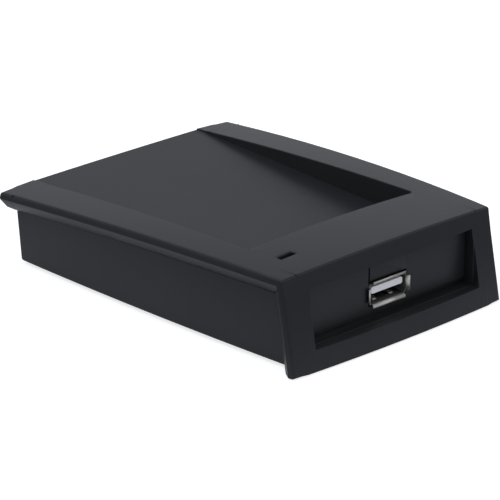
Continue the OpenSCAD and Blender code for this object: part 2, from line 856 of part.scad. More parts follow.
resistor_size = [2 * chip_unit, 1.25 * chip_unit, 0.08 * well_room];
resistor_shares = [[-0.3, 0.2], [-0.3, 0.3], [-0.3, 0.4], [-0.3, 0.5], [0.58, 0.2], [0.58, 0.3],
    [0.7, 0.3], [0.7, 0.4], [-0.66, 0.58], [0.77, 0.5], [0.9, 0.55], [-0.68, 0.2]];

module smd_resistors() {
    color([0.12, 0.12, 0.13])
        for (shares = resistor_shares)
            chip(board_place(shares), resistor_size);
}

// Antenna board under the well, on foam pads, joined to the main board by four pins
foam_t = 1;
link_overlap = 3.3;
antenna_rear_y = board_front_y + link_overlap;
antenna_w = 2 * (boss_x - boss_r - antenna_side_gap);
antenna_len = antenna_rear_y - front_y - antenna_in;
trace_w = 1;
trace_gap = 0.8;
trace_t = 0.15;
trace_turns = 4;
trace_margin = 3;
foam_size = [8, 5, foam_t];
antenna_top_z = floor_z(antenna_rear_y) - tub_t / cos(well_fall) - foam_t / cos(well_fall);

// Places its children on the antenna board's upper face, with Y running forward from its rear edge
module under_well() {
    translate([0, antenna_rear_y, antenna_top_z])
        rotate([-well_fall, 0, 0])
            children();
}

module antenna_board() {
    color([0.1, 0.35, 0.2])
        difference() {
            under_well()
                translate([-antenna_w / 2, -antenna_len, -antenna_t])
                    cube([antenna_w, antenna_len, antenna_t]);
            for (shares = link_shares)
                translate(concat(board_place(shares), 0))
                    cylinder(r = link_hole_r, h = high_z);
        }
}

module ring(turn) {
    step = trace_margin + turn * (trace_w + trace_gap);
    difference() {
        translate([-antenna_w / 2 + step, -antenna_len + step])
            square([antenna_w - 2 * step, antenna_len - 2 * step]);
        translate([-antenna_w / 2 + step + trace_w, -antenna_len + step + trace_w])
            square([antenna_w - 2 * step - 2 * trace_w, antenna_len - 2 * step - 2 * trace_w]);
    }
}

module antenna_trace() {
    color([0.8, 0.5, 0.3])
        under_well()
            translate([0, 0, -antenna_t - trace_t])
                linear_extrude(height = trace_t) {
                    for (turn = [0 : trace_turns - 1])
                        ring(turn);
                    for (turn = [0 : trace_turns - 2])
                        translate([turn * 2 * trace_w, trace_margin - antenna_len
                            + turn * (trace_w + trace_gap) + trace_w / 2])
                            square([trace_w, trace_w + trace_gap]);
                }
}

module antenna_pads() {
    color([0.9, 0.9, 0.88])
        under_well()
            for (side = [-1, 1], share = [0.1, 0.9])
                translate([side * (antenna_w / 2 - foam_size[0]) - foam_size[0] / 2,
                    -share * antenna_len - foam_size[1] / 2, 0])
                    cube(foam_size);
}

module link_pins() {
    color([0.85, 0.7, 0.35])
        for (shares = link_shares)
            translate(concat(board_place(shares) - [link_pin, link_pin] / 2, board_low_z - link_pin))
                cube([link_pin, link_pin, antenna_top_z - board_low_z + 1.5 * link_pin]);
}

// Screws and feet
board_head_h = 1.3;
board_screw_len = 4.5;

module board_screws() {
    color([0.7, 0.7, 0.72])
        for (shares = post_shares)
            translate(concat(board_place(shares), board_top_z)) {
                cylinder(r = board_head_r, h = board_head_h);
                translate([0, 0, -board_screw_len])
                    cylinder(r = board_screw_r, h = board_screw_len);
            }
}

module case_screws() {
    color([0.7, 0.7, 0.72])
        for (p = boss_places)
            translate([p[0], p[1], case_seat_z - case_head_h]) {
                cylinder(r = case_head_r, h = case_head_h);
                cylinder(r = case_screw_r, h = case_head_h + case_grip);
            }
}

module rubber_feet() {
    color([0.1, 0.1, 0.1])
        for (p = pad_places)
            translate([p[0], p[1], 0])
                cylinder(r = pad_r, h = shell_z + pad_recess);
}

upper_cover();
lower_shell();
light_pipe();
usb_shell();
usb_insulator();
usb_contacts();
main_board();
microcontroller();
microcontroller_leads();
reader_chip();
crystal();
regulator();
bulk_capacitor();
buzzer();
status_led();
smd_capacitors();
smd_resistors();
link_pins();
antenna_board();
antenna_trace();
antenna_pads();
board_screws();
case_screws();
rubber_feet();
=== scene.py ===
"""Looks of a desktop smart card reader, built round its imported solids: a black moulded housing with a
sloped card well, a plated socket in the rear window, and the boards inside. All is in metres: X across
the width, -Y the card entry end, +Y the socket end, Z up from the table."""

import math

import bmesh
import bpy
from mathutils import Matrix, Vector


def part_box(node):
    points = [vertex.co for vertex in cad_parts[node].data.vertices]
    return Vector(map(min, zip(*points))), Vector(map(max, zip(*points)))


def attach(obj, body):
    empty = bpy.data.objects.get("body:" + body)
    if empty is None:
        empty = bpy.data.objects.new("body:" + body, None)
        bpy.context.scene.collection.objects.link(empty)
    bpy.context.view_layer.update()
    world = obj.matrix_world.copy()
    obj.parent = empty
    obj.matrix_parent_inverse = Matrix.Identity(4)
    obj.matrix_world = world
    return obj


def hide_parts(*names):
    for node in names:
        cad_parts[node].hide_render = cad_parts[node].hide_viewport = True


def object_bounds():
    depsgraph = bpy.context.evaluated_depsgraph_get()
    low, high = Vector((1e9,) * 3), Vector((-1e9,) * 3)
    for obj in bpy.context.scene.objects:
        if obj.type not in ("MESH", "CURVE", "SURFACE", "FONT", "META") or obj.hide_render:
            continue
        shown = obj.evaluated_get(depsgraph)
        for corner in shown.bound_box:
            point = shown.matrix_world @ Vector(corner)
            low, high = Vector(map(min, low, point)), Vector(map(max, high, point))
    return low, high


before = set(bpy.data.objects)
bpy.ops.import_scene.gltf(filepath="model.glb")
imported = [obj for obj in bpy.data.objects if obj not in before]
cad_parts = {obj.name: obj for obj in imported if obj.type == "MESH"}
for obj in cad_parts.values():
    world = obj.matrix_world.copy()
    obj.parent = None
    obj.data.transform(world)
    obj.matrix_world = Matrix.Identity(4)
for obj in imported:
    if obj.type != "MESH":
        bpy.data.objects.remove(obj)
CAD_BOX = [list(corner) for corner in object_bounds()]

bl_info = {
    "name": "Smart card reader",
    "version": (1, 0, 0),
    "blender": (4, 5, 0),
    "location": "3D View > Sidebar > Reader",
    "description": "Dresses a desktop smart card reader and sets its studio",
    "category": "Object",
}

MM = 0.001
BODY = "root"

# Points nearer than WELD are one point. Edges that turn by less than SHARP shade smooth, and those that
# turn by less than FLAT are no edges. A face looks a way when its normal has FACING of that direction
WELD = 2e-6
SHARP = math.radians(28)
FLAT = math.radians(1)
FACING = 0.9

# The colour sockets of a Mix node go by number, because its other sockets have the same names
TONE_A, TONE_B, TONE_OUT = 6, 7, 2
BLACK = (0.0, 0.0, 0.0, 1.0)
WHITE = (1.0, 1.0, 1.0, 1.0)

# The cover's zones, measured in from its box: the rim along the sides, the front and the rear, the
# bezel, its upright corners, its toes, and the foot below the lip
SIDE_ZONE = 7.5 * MM
FRONT_ZONE = 0.9 * MM
REAR_ZONE = 6.4 * MM
BEZEL_ZONE = 8.2 * MM
CORNER_ZONE = 9.5 * MM
TOE_ZONE = 1.2 * MM
FOOT_ZONE = 2 * MM
# How near the window's head, or the start of its slope, a point counts as on it
HEAD_NEAR = 0.4 * MM
SLOPE_NEAR = 0.05 * MM
# How deep and how tall the seam over the socket is
SEAM_DEEP = 2 * MM
SEAM_TALL = 12 * MM
# The shell's panel lies past this Y. The edges before it are hidden, and stay crisp
PANEL_Y = 47 * MM

# The springs' place from the socket's middle, as a share of its width, and the tabs' depth behind the
# mouth, as a share of its length
SPRING_PLACE = 0.23
TAB_PLACE = 0.64
# A spring from its root to its tip, in mm: how far in from the mouth, and how high over the floor
SPRING_RISE = ((-8.0, -0.1), (-6.4, 0.0), (-5.2, 0.18), (-4.2, 0.38), (-3.7, 0.46), (-3.3, 0.46),
               (-2.9, 0.3), (-2.4, 0.0))
# The plate's colour is painted down towards black between these depths behind the mouth: painted shade
# for the dark inside of the mouth
PAINTED_SHADE_START = 0.6 * MM
PAINTED_SHADE_FULL = 0.95 * MM
# The tongue's long edges lie in this front share of the socket's length
TONGUE_SHARE = 0.6

# The least roughness of a finish, and how far its grain swings the roughness either way
GLOSS_LEAST = 0.02
GLOSS_SWING = 0.06
# What gloss shows of the room, from level to straight up: the place on the ramp, and the tone there
ROOM_TONES = ((0.0, 0.63), (0.2, 0.6), (0.37, 0.53), (0.5, 0.44), (0.7, 0.34), (1.0, 0.27))
ROOM_TINT = (0.97, 0.985, 1.06)
# The width of the camera's frame, in mm, and the nearest that it sees
SENSOR_WIDTH = 36
CLIP_START = 10 * MM


# Settings

class HousingSettings(bpy.types.PropertyGroup):
    """Roundings and colours of the moulded housing"""

    rim_radius: bpy.props.FloatProperty(
        name="Rim radius", description="Rounding of the cover's outer top edge",
        default=0.45 * MM, unit="LENGTH", precision=5)
    lip_radius: bpy.props.FloatProperty(
        name="Lip radius", description="Rounding of the edges under the lip",
        default=0.15 * MM, unit="LENGTH", precision=5)
    corner_radius: bpy.props.FloatProperty(
        name="Bezel corner radius", description="Rounding of the rear bezel's upright corners",
        default=0.5 * MM, unit="LENGTH", precision=5)
    toe_radius: bpy.props.FloatProperty(
        name="Bezel toe radius", description="Rounding of the bezel's two lower corners",
        default=1.6 * MM, unit="LENGTH", precision=5)
    well_radius: bpy.props.FloatProperty(
        name="Well radius", description="Rounding of the card well's edges",
        default=0.25 * MM, unit="LENGTH", precision=5)
    window_radius: bpy.props.FloatProperty(
        name="Window radius", description="Rounding of the window's edges, which are nearly crisp",
        default=0.05 * MM, unit="LENGTH", precision=5)
    sill_z: bpy.props.FloatProperty(
        name="Window's sill", description="Height of the window's lower edge",
        default=6.0 * MM, unit="LENGTH", precision=5)
    head_z: bpy.props.FloatProperty(
        name="Window's head", description="Height of the window's upper edge",
        default=21.15 * MM, unit="LENGTH", precision=5)
    slope_y: bpy.props.FloatProperty(
        name="Window's slope", description="Where the window starts to open outwards",
        default=51.1 * MM, unit="LENGTH", precision=5)
    hairline: bpy.props.FloatProperty(
        name="Sill's step", description="Height of the fine step along the sill",
        default=0.1 * MM, unit="LENGTH", precision=5)
    shell_radius: bpy.props.FloatProperty(
        name="Shell radius", description="Rounding of the lower shell's small edges",
        default=0.15 * MM, unit="LENGTH", precision=5)
    cover_colour: bpy.props.StringProperty(
        name="Cover colour", description="Colour of the cover, sRGB hex", default="232428")
    shell_colour: bpy.props.StringProperty(
        name="Shell colour", description="Colour of the lower shell, sRGB hex", default="242529")


class SocketSettings(bpy.types.PropertyGroup):
    """Sizes and colours of the socket"""

    width: bpy.props.FloatProperty(
        name="Width", description="Outer width of the plated shell",
        default=13.1 * MM, unit="LENGTH", precision=5)
    height: bpy.props.FloatProperty(
        name="Height", description="Outer height of the plated shell",
        default=5.7 * MM, unit="LENGTH", precision=5)
    length: bpy.props.FloatProperty(
        name="Length", description="Length of the plated shell",
        default=14 * MM, unit="LENGTH", precision=5)
    sheet: bpy.props.FloatProperty(
        name="Sheet", description="Thickness of the plated sheet",
        default=0.3 * MM, unit="LENGTH", precision=5)
    corner: bpy.props.FloatProperty(
        name="Corner radius", description="Outer bend radius of the shell's corners",
        default=0.75 * MM, unit="LENGTH", precision=5)
    lip_out: bpy.props.FloatProperty(
        name="Lip", description="How far the flared lips stand out",
        default=0.7 * MM, unit="LENGTH", precision=5)
    lip_bend: bpy.props.FloatProperty(
        name="Lip bend", description="Radius that the lips curl on, to the middle of the sheet",
        default=0.7 * MM, unit="LENGTH", precision=5)
    lip_short: bpy.props.FloatProperty(
        name="Lip's end", description="How far each lip ends short of the shell's corners",
        default=0.9 * MM, unit="LENGTH", precision=5)
    notch_gap: bpy.props.FloatProperty(
        name="Notch", description="Clearance between the shell and the notch it sits in",
        default=0.15 * MM, unit="LENGTH", precision=5)
    spring_width: bpy.props.FloatProperty(
        name="Spring's width", description="Width of each pressed spring",
        default=1.5 * MM, unit="LENGTH", precision=5)
    tab_width: bpy.props.FloatProperty(
        name="Tab's width", description="Width of each solder tab",
        default=2.4 * MM, unit="LENGTH", precision=5)
    tongue_radius: bpy.props.FloatProperty(
        name="Tongue's radius", description="Rounding of the tongue's long edges",
        default=0.55 * MM, unit="LENGTH", precision=5)
    tongue_chamfer: bpy.props.FloatProperty(
        name="Tongue's chamfer", description="Rounding of the tongue's front outline",
        default=0.12 * MM, unit="LENGTH", precision=5)
    metal_colour: bpy.props.StringProperty(
        name="Plating", description="Colour of the nickel plate, sRGB hex", default="D6D4CF")
    spring_colour: bpy.props.StringProperty(
        name="Springs", description="Colour of the pressed springs, sRGB hex", default="9A9894")
    # The painted shade inside the mouth leaves this share of the plate's colour
    inside_shade: bpy.props.FloatProperty(
        name="Inside", description="Share of the plate's colour left inside the mouth", default=0.06)
    plastic_colour: bpy.props.StringProperty(
        name="Insulator", description="Colour of the socket's plastic, sRGB hex", default="F6F8FC")
    contact_colour: bpy.props.StringProperty(
        name="Contacts", description="Colour of the gold flash, sRGB hex", default="E0BC6A")


class FixingSettings(bpy.types.PropertyGroup):
    """Sizes and colours of the screws, the feet and the light's window"""

    head_radius: bpy.props.FloatProperty(
        name="Screw head", description="Radius of a case screw's head",
        default=2.5 * MM, unit="LENGTH", precision=5)
    head_height: bpy.props.FloatProperty(
        name="Head's height", description="Height of a case screw's head",
        default=1.8 * MM, unit="LENGTH", precision=5)
    shank_radius: bpy.props.FloatProperty(
        name="Shank", description="Radius of a case screw's shank",
        default=1.2 * MM, unit="LENGTH", precision=5)
    foot_radius: bpy.props.FloatProperty(
        name="Foot", description="Radius of a rubber foot",
        default=4.5 * MM, unit="LENGTH", precision=5)
    sole_radius: bpy.props.FloatProperty(
        name="Foot's edge", description="Rounding of a foot's edge on the table",
        default=0.4 * MM, unit="LENGTH", precision=5)
    pipe_radius: bpy.props.FloatProperty(
        name="Light's window", description="Rounding of the light window's edges",
        default=0.12 * MM, unit="LENGTH", precision=5)
    screw_colour: bpy.props.StringProperty(
        name="Screw colour", description="Colour of the zinc plate, sRGB hex", default="B9BABC")
    foot_colour: bpy.props.StringProperty(
        name="Foot colour", description="Colour of the rubber feet, sRGB hex", default="1B1B1C")
    pipe_colour: bpy.props.StringProperty(
        name="Light's colour", description="Colour of the smoked window, sRGB hex", default="17191C")


class StageSettings(bpy.types.PropertyGroup):
    """The camera and the light"""

    azimuth: bpy.props.FloatProperty(
        name="Azimuth", description="Camera's turn round the object, in degrees", default=137.17)
    elevation: bpy.props.FloatProperty(
        name="Elevation", description="Camera's height above the horizon, in degrees", default=21.994)
    roll: bpy.props.FloatProperty(
        name="Roll", description="Camera's roll, in degrees", default=-0.12)
    distance: bpy.props.FloatProperty(
        name="Distance", description="From the camera to the point it looks at",
        default=862.91 * MM, unit="LENGTH", precision=5)
    target: bpy.props.FloatVectorProperty(
        name="Target", description="The point the camera looks at",
        default=(0.842 * MM, -0.436 * MM, 8.677 * MM), unit="LENGTH", precision=6)
    lens: bpy.props.FloatProperty(
        name="Lens", description="Focal length for a 36 mm frame, in mm", default=238.07)
    floor_size: bpy.props.FloatProperty(
        name="Floor", description="Side of the floor", default=8.0, unit="LENGTH")
    floor_colour: bpy.props.StringProperty(
        name="Floor colour", description="Colour of the floor, sRGB hex", default="BEC1CB")
    floor_glow: bpy.props.FloatProperty(
        name="Floor glow", description="What whitens the floor as the camera sees it", default=0.75)
    # The floor's painted pool of light, which only gloss sees: its glow beside the object, its reach, and
    # the painted darkening far off
    floor_gloss: bpy.props.FloatProperty(
        name="Floor in gloss", description="The share of that glow that gloss shows beside the object",
        default=0.3)
    floor_reach: bpy.props.FloatProperty(
        name="Near floor", description="How far from the object gloss shows the floor bright",
        default=60 * MM, unit="LENGTH", precision=5)
    floor_far: bpy.props.FloatProperty(
        name="Far floor", description="How much of the floor's tone gloss shows far off", default=0.3)
    sky_level: bpy.props.FloatProperty(
        name="Fill", description="Strength of the even light from all round", default=0.5)
    key_watts: bpy.props.FloatProperty(
        name="Key", description="Power of the soft light over the object", default=4.0)
    key_size: bpy.props.FloatProperty(
        name="Key's size", description="Side of that light", default=0.7, unit="LENGTH")
    key_place: bpy.props.FloatVectorProperty(
        name="Key's place", description="Where that light hangs", default=(0.25, -0.15, 0.95),
        unit="LENGTH")
    rear_watts: bpy.props.FloatProperty(
        name="Rear light", description="Power of the soft light on the socket's end", default=1.3)
    rear_size: bpy.props.FloatProperty(
        name="Rear light's size", description="Side of that light", default=1.2, unit="LENGTH")
    rear_place: bpy.props.FloatVectorProperty(
        name="Rear light's place", description="Where that light hangs", default=(-0.47, 0.67, 0.57),
        unit="LENGTH")


# Small tools

def paint(hex_text):
    """A colour written as sRGB hex, as the linear colour that the shaders take"""
    parts = [int(hex_text[n:n + 2], 16) / 255 for n in (0, 2, 4)]
    return [p / 12.92 if p <= 0.04045 else ((p + 0.055) / 1.055) ** 2.4 for p in parts] + [1.0]


def shades(colour, spread):
    """The darkest and the lightest tone of a finish, either side of its colour"""
    parts = paint(colour)[:3]
    return [[min(1.0, part * share) for part in parts] + [1.0] for share in (1 - spread, 1 + spread)]


def add(tree, kind, settings, links=None):
    """One node with its settings, and what feeds it. A socket goes by its name or its number"""
    made = tree.nodes.new(kind)
    for key, value in settings.items():
        if isinstance(key, int) or key in made.inputs:
            made.inputs[key].default_value = value
        else:
            setattr(made, key, value)
    for key, socket in (links or {}).items():
        tree.links.new(socket, made.inputs[key])
    return made


def blank(name):
    """A new material, its empty tree, and the place on the piece in metres"""
    made = bpy.data.materials.new(name)
    made.use_nodes = True
    tree = made.node_tree
    tree.nodes.clear()
    place = add(tree, "ShaderNodeTexCoord", {}).outputs["Object"]
    return made, tree, place


def close(tree, shader):
    """Ends a material's tree"""
    add(tree, "ShaderNodeOutputMaterial", {}, {"Surface": shader.outputs[0]})


def put(bm, name, material, slot, *nodes, widest=0.0, segments=3):
    """Turns a finished bmesh into a piece that rides on the body and stands for its nodes. Its weighed
    edges are rounded, by up to the widest radius"""
    mesh = bpy.data.meshes.new(name)
    bm.to_mesh(mesh)
    bm.free()
    mesh.polygons.foreach_set("use_smooth", [True] * len(mesh.polygons))
    mesh.materials.append(material)
    piece = bpy.data.objects.new(name, mesh)
    bpy.context.scene.collection.objects.link(piece)
    if widest:
        bevel = piece.modifiers.new("rounding", "BEVEL")
        bevel.limit_method = "WEIGHT"
        bevel.width = widest
        bevel.segments = segments
        bevel.use_clamp_overlap = False
        normals = piece.modifiers.new("normals", "WEIGHTED_NORMAL")
        normals.keep_sharp = True
    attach(piece, BODY)
    if nodes:
        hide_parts(*nodes)
    return piece


def dress(node, material):
    """Gives a carried-over node a better material"""
    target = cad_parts[node]
    target.data.materials.clear()
    target.data.materials.append(material)


def copy_of(node):
    """A node's mesh with its doubles merged"""
    bm = bmesh.new()
    bm.from_mesh(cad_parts[node].data)
    bmesh.ops.remove_doubles(bm, verts=bm.verts[:], dist=WELD)
    bm.normal_update()
    return bm


def weigh(bm, radius_of, widest):
    """Gives each sharp outer edge its rounding, as a share of the widest, and keeps the others crisp"""
    layer = bm.edges.layers.float.new("bevel_weight_edge")
    for edge in bm.edges:
        if len(edge.link_faces) != 2 or edge.calc_face_angle() < SHARP:
            continue
        radius = radius_of(edge) if edge.is_convex else 0.0
        edge[layer] = radius / widest
        edge.smooth = radius > 0


def shade_round(part):
    """Shades a round part smooth, with its sharp edges crisp"""
    for edge in part.edges:
        edge.smooth = edge.calc_face_angle(0) < SHARP


def join(bm, part, place):
    """Adds a finished part to a piece's mesh at its place"""
    part.transform(place)
    mesh = bpy.data.meshes.new("part")
    part.to_mesh(mesh)
    part.free()
    bm.from_mesh(mesh)
    bpy.data.meshes.remove(mesh)


def middle(edge):
    """The middle of an edge"""
    return (edge.verts[0].co + edge.verts[1].co) / 2


def new_verts(grown):
    """The points that an extrusion has made"""
    return [item for item in grown["geom"] if isinstance(item, bmesh.types.BMVert)]


def new_edges(grown):
    """The edges at the far side of an extrusion"""
    fresh = new_verts(grown)
    return [item for item in grown["geom"] if isinstance(item, bmesh.types.BMEdge)
            and item.verts[0] in fresh and item.verts[1] in fresh]


def seam_box(socket):
    """The line above the socket where the cover's tongue closes flush on the shell's panel"""
    low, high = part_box("usb_shell")
    x = low.x + socket.lip_out - socket.notch_gap
    return (x - WELD, high.y - SEAM_DEEP, high.z), (x + WELD, high.y, high.z + SEAM_TALL)


def within(spot, box):
    """Whether a point lies inside a box"""
    return all(box[0][n] < spot[n] < box[1][n] for n in range(3))


# Finishes

def grain_coat(tree, tone, grain, roughness, relief, depth, settings, swing=GLOSS_SWING, ends=(0.0, 1.0)):
    """Ends a finish whose gloss and relief follow its grain. The ends are those of the grain's tones
    that the gloss swings between"""
    gloss = add(tree, "ShaderNodeMapRange",
                {"From Min": ends[0], "From Max": ends[1],
                 "To Min": max(GLOSS_LEAST, roughness - swing), "To Max": roughness + swing},
                {"Value": grain.outputs[0]})
    bump = add(tree, "ShaderNodeBump", {"Strength": relief, "Distance": depth},
               {"Height": grain.outputs[0]})
    shader = add(tree, "ShaderNodeBsdfPrincipled", settings,
                 {"Base Color": tone.outputs[TONE_OUT], "Roughness": gloss.outputs[0],
                  "Normal": bump.outputs[0]})
    close(tree, shader)


def moulded_abs(name, colour):
    """ABS moulded against spark-eroded steel: deep black with a fine matt grain that scatters the
    highlight. The real grain is about 0.1 mm and is drawn at 0.35 mm, so that it shows. The tone drifts
    a little over 22 mm, as the resin's flow leaves it"""
    made, tree, place = blank(name)
    grain = add(tree, "ShaderNodeTexNoise", {"Scale": 1 / (0.35 * MM), "Detail": 2.0, "Roughness": 0.6},
                {"Vector": place})
    flow = add(tree, "ShaderNodeTexNoise", {"Scale": 1 / (22 * MM), "Detail": 3.0, "Roughness": 0.5},
               {"Vector": place})
    dark, light = shades(colour, 0.14)
    tone = add(tree, "ShaderNodeMix", {"data_type": "RGBA", TONE_A: dark, TONE_B: light},
               {"Factor": flow.outputs[0]})
    grain_coat(tree, tone, grain, roughness=0.34, relief=0.22, depth=0.03 * MM,
               settings={"IOR": 1.46, "Specular IOR Level": 0.36}, swing=0.03, ends=(0.3, 0.7))
    return made


def grained(name, colour, roughness, metallic=0.0, grain_mm=0.4, depth_mm=0.01, spread=0.1, ior=1.5):
    """A plain finish whose tone, gloss and relief follow one grain of a real size"""
    made, tree, place = blank(name)
    grain = add(tree, "ShaderNodeTexNoise", {"Scale": 1 / (grain_mm * MM), "Detail": 3.0},
                {"Vector": place})
    dark, light = shades(colour, spread)
    tone = add(tree, "ShaderNodeMix", {"data_type": "RGBA", TONE_A: dark, TONE_B: light},
               {"Factor": grain.outputs[0]})
    grain_coat(tree, tone, grain, roughness, relief=0.3, depth=depth_mm * MM,
               settings={"Metallic": metallic, "IOR": ior})
    return made


def plated(name, colour, roughness, painted_shade_full_y, painted_shade_start_y, shade):
    """Nickel plate on drawn sheet: soft grey gleam on the lips, with fine lines along the draw. Its
    colour is painted down to near black inside the mouth, a painted shade, so that the opening reads as
    deep"""
    made, tree, place = blank(name)
    drawn = add(tree, "ShaderNodeMapping", {"Scale": (1.0, 0.15, 1.0)}, {"Vector": place})
    grain = add(tree, "ShaderNodeTexNoise", {"Scale": 1 / (0.25 * MM), "Detail": 3.0},
                {"Vector": drawn.outputs[0]})
    along = add(tree, "ShaderNodeSeparateXYZ", {}, {"Vector": place})
    # Painted shade: deeper in the mouth, the plate's colour falls to the shade's share of it
    depth = add(tree, "ShaderNodeMapRange",
                {"From Min": painted_shade_full_y, "From Max": painted_shade_start_y, "To Min": shade, "To Max": 1.0},
                {"Value": along.outputs["Y"]})
    tone = add(tree, "ShaderNodeMix", {"data_type": "RGBA", TONE_A: BLACK, TONE_B: paint(colour)},
               {"Factor": depth.outputs[0]})
    grain_coat(tree, tone, grain, roughness, relief=0.3, depth=0.004 * MM, settings={"Metallic": 1.0})
    return made


# The pieces

class READER_OT_cover(bpy.types.Operator):
    """The crowned cover with its well, lip and bezel, every seen edge rounded"""

    bl_idname = "reader.cover"
    bl_label = "Upper cover"

    def execute(self, context):
        sizes = context.scene.reader_housing
        low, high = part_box("upper_cover")
        bm = copy_of("upper_cover")
        self.ease_step(bm, sizes)
        side, corner = high.x - SIDE_ZONE, high.x - CORNER_ZONE
        front, rear, behind = low.y + FRONT_ZONE, high.y - REAR_ZONE, high.y - BEZEL_ZONE
        toe_z, foot_z = low.z + TOE_ZONE, low.z + FOOT_ZONE
        seam = seam_box(context.scene.reader_socket)

        def radius_of(edge):
            """An edge's rounding, by the zone that it lies in and the way it faces"""
            spot = middle(edge)
            bezel, outer = spot.y > behind, abs(spot.x) > corner
            if within(spot, seam) or (bezel and abs(spot.z - sizes.head_z) < HEAD_NEAR):
                return 0.0
            if edge.calc_length() < sizes.rim_radius:
                return 0.0
            up = max(face.normal.z for face in edge.link_faces) > FACING
            back = max(face.normal.y for face in edge.link_faces) > FACING
            upright = abs(edge.verts[0].co.x - edge.verts[1].co.x) < WELD
            rim = abs(spot.x) > side or spot.y < front or (spot.y > rear and spot.z > sizes.head_z)
            if bezel and outer and upright and spot.z < toe_z:
                return sizes.toe_radius
            if bezel and not rim:
                return sizes.window_radius
            if up and back:
                return sizes.rim_radius
            if back and outer:
                return sizes.corner_radius
            if up and rim:
                return sizes.rim_radius
            # The well's edges stay crisp where they run out over the front, inside the solids' box
            if up and min(vert.co.y for vert in edge.verts) < front:
                return 0.0
            if up or back:
                return sizes.well_radius
            if rim and spot.z > foot_z:
                return sizes.lip_radius
            return 0.0

        widest = sizes.toe_radius
        weigh(bm, radius_of, widest)
        material = moulded_abs("cover ABS, spark-eroded grain", sizes.cover_colour)
        put(bm, "cover", material, "cover_plastic", "upper_cover", widest=widest)
        return {"FINISHED"}

    def ease_step(self, bm, sizes):
        """The window's step fades out at the head, and is only a hairline along the sill"""
        for vert in bm.verts:
            if abs(vert.co.y - sizes.slope_y) < SLOPE_NEAR:
                vert.co.z = max(sizes.sill_z - sizes.hairline, min(sizes.head_z, vert.co.z))
        bmesh.ops.remove_doubles(bm, verts=bm.verts[:], dist=WELD)
        bmesh.ops.dissolve_degenerate(bm, dist=WELD, edges=bm.edges[:])


class READER_OT_shell(bpy.types.Operator):
    """The drafted lower shell with its socket panel and screw wells"""

    bl_idname = "reader.shell"
    bl_label = "Lower shell"

    def execute(self, context):
        sizes = context.scene.reader_housing
        seam = seam_box(context.scene.reader_socket)

        def radius_of(edge):
            """The panel's edges are rounded, and the seam and the hidden edges stay crisp"""
            spot = middle(edge)
            return sizes.shell_radius if spot.y > PANEL_Y and not within(spot, seam) else 0.0

        bm = copy_of("lower_shell")
        weigh(bm, radius_of, sizes.shell_radius)
        material = moulded_abs("shell ABS, spark-eroded grain", sizes.shell_colour)
        put(bm, "shell", material, "shell_plastic", "lower_shell", widest=sizes.shell_radius)
        return {"FINISHED"}


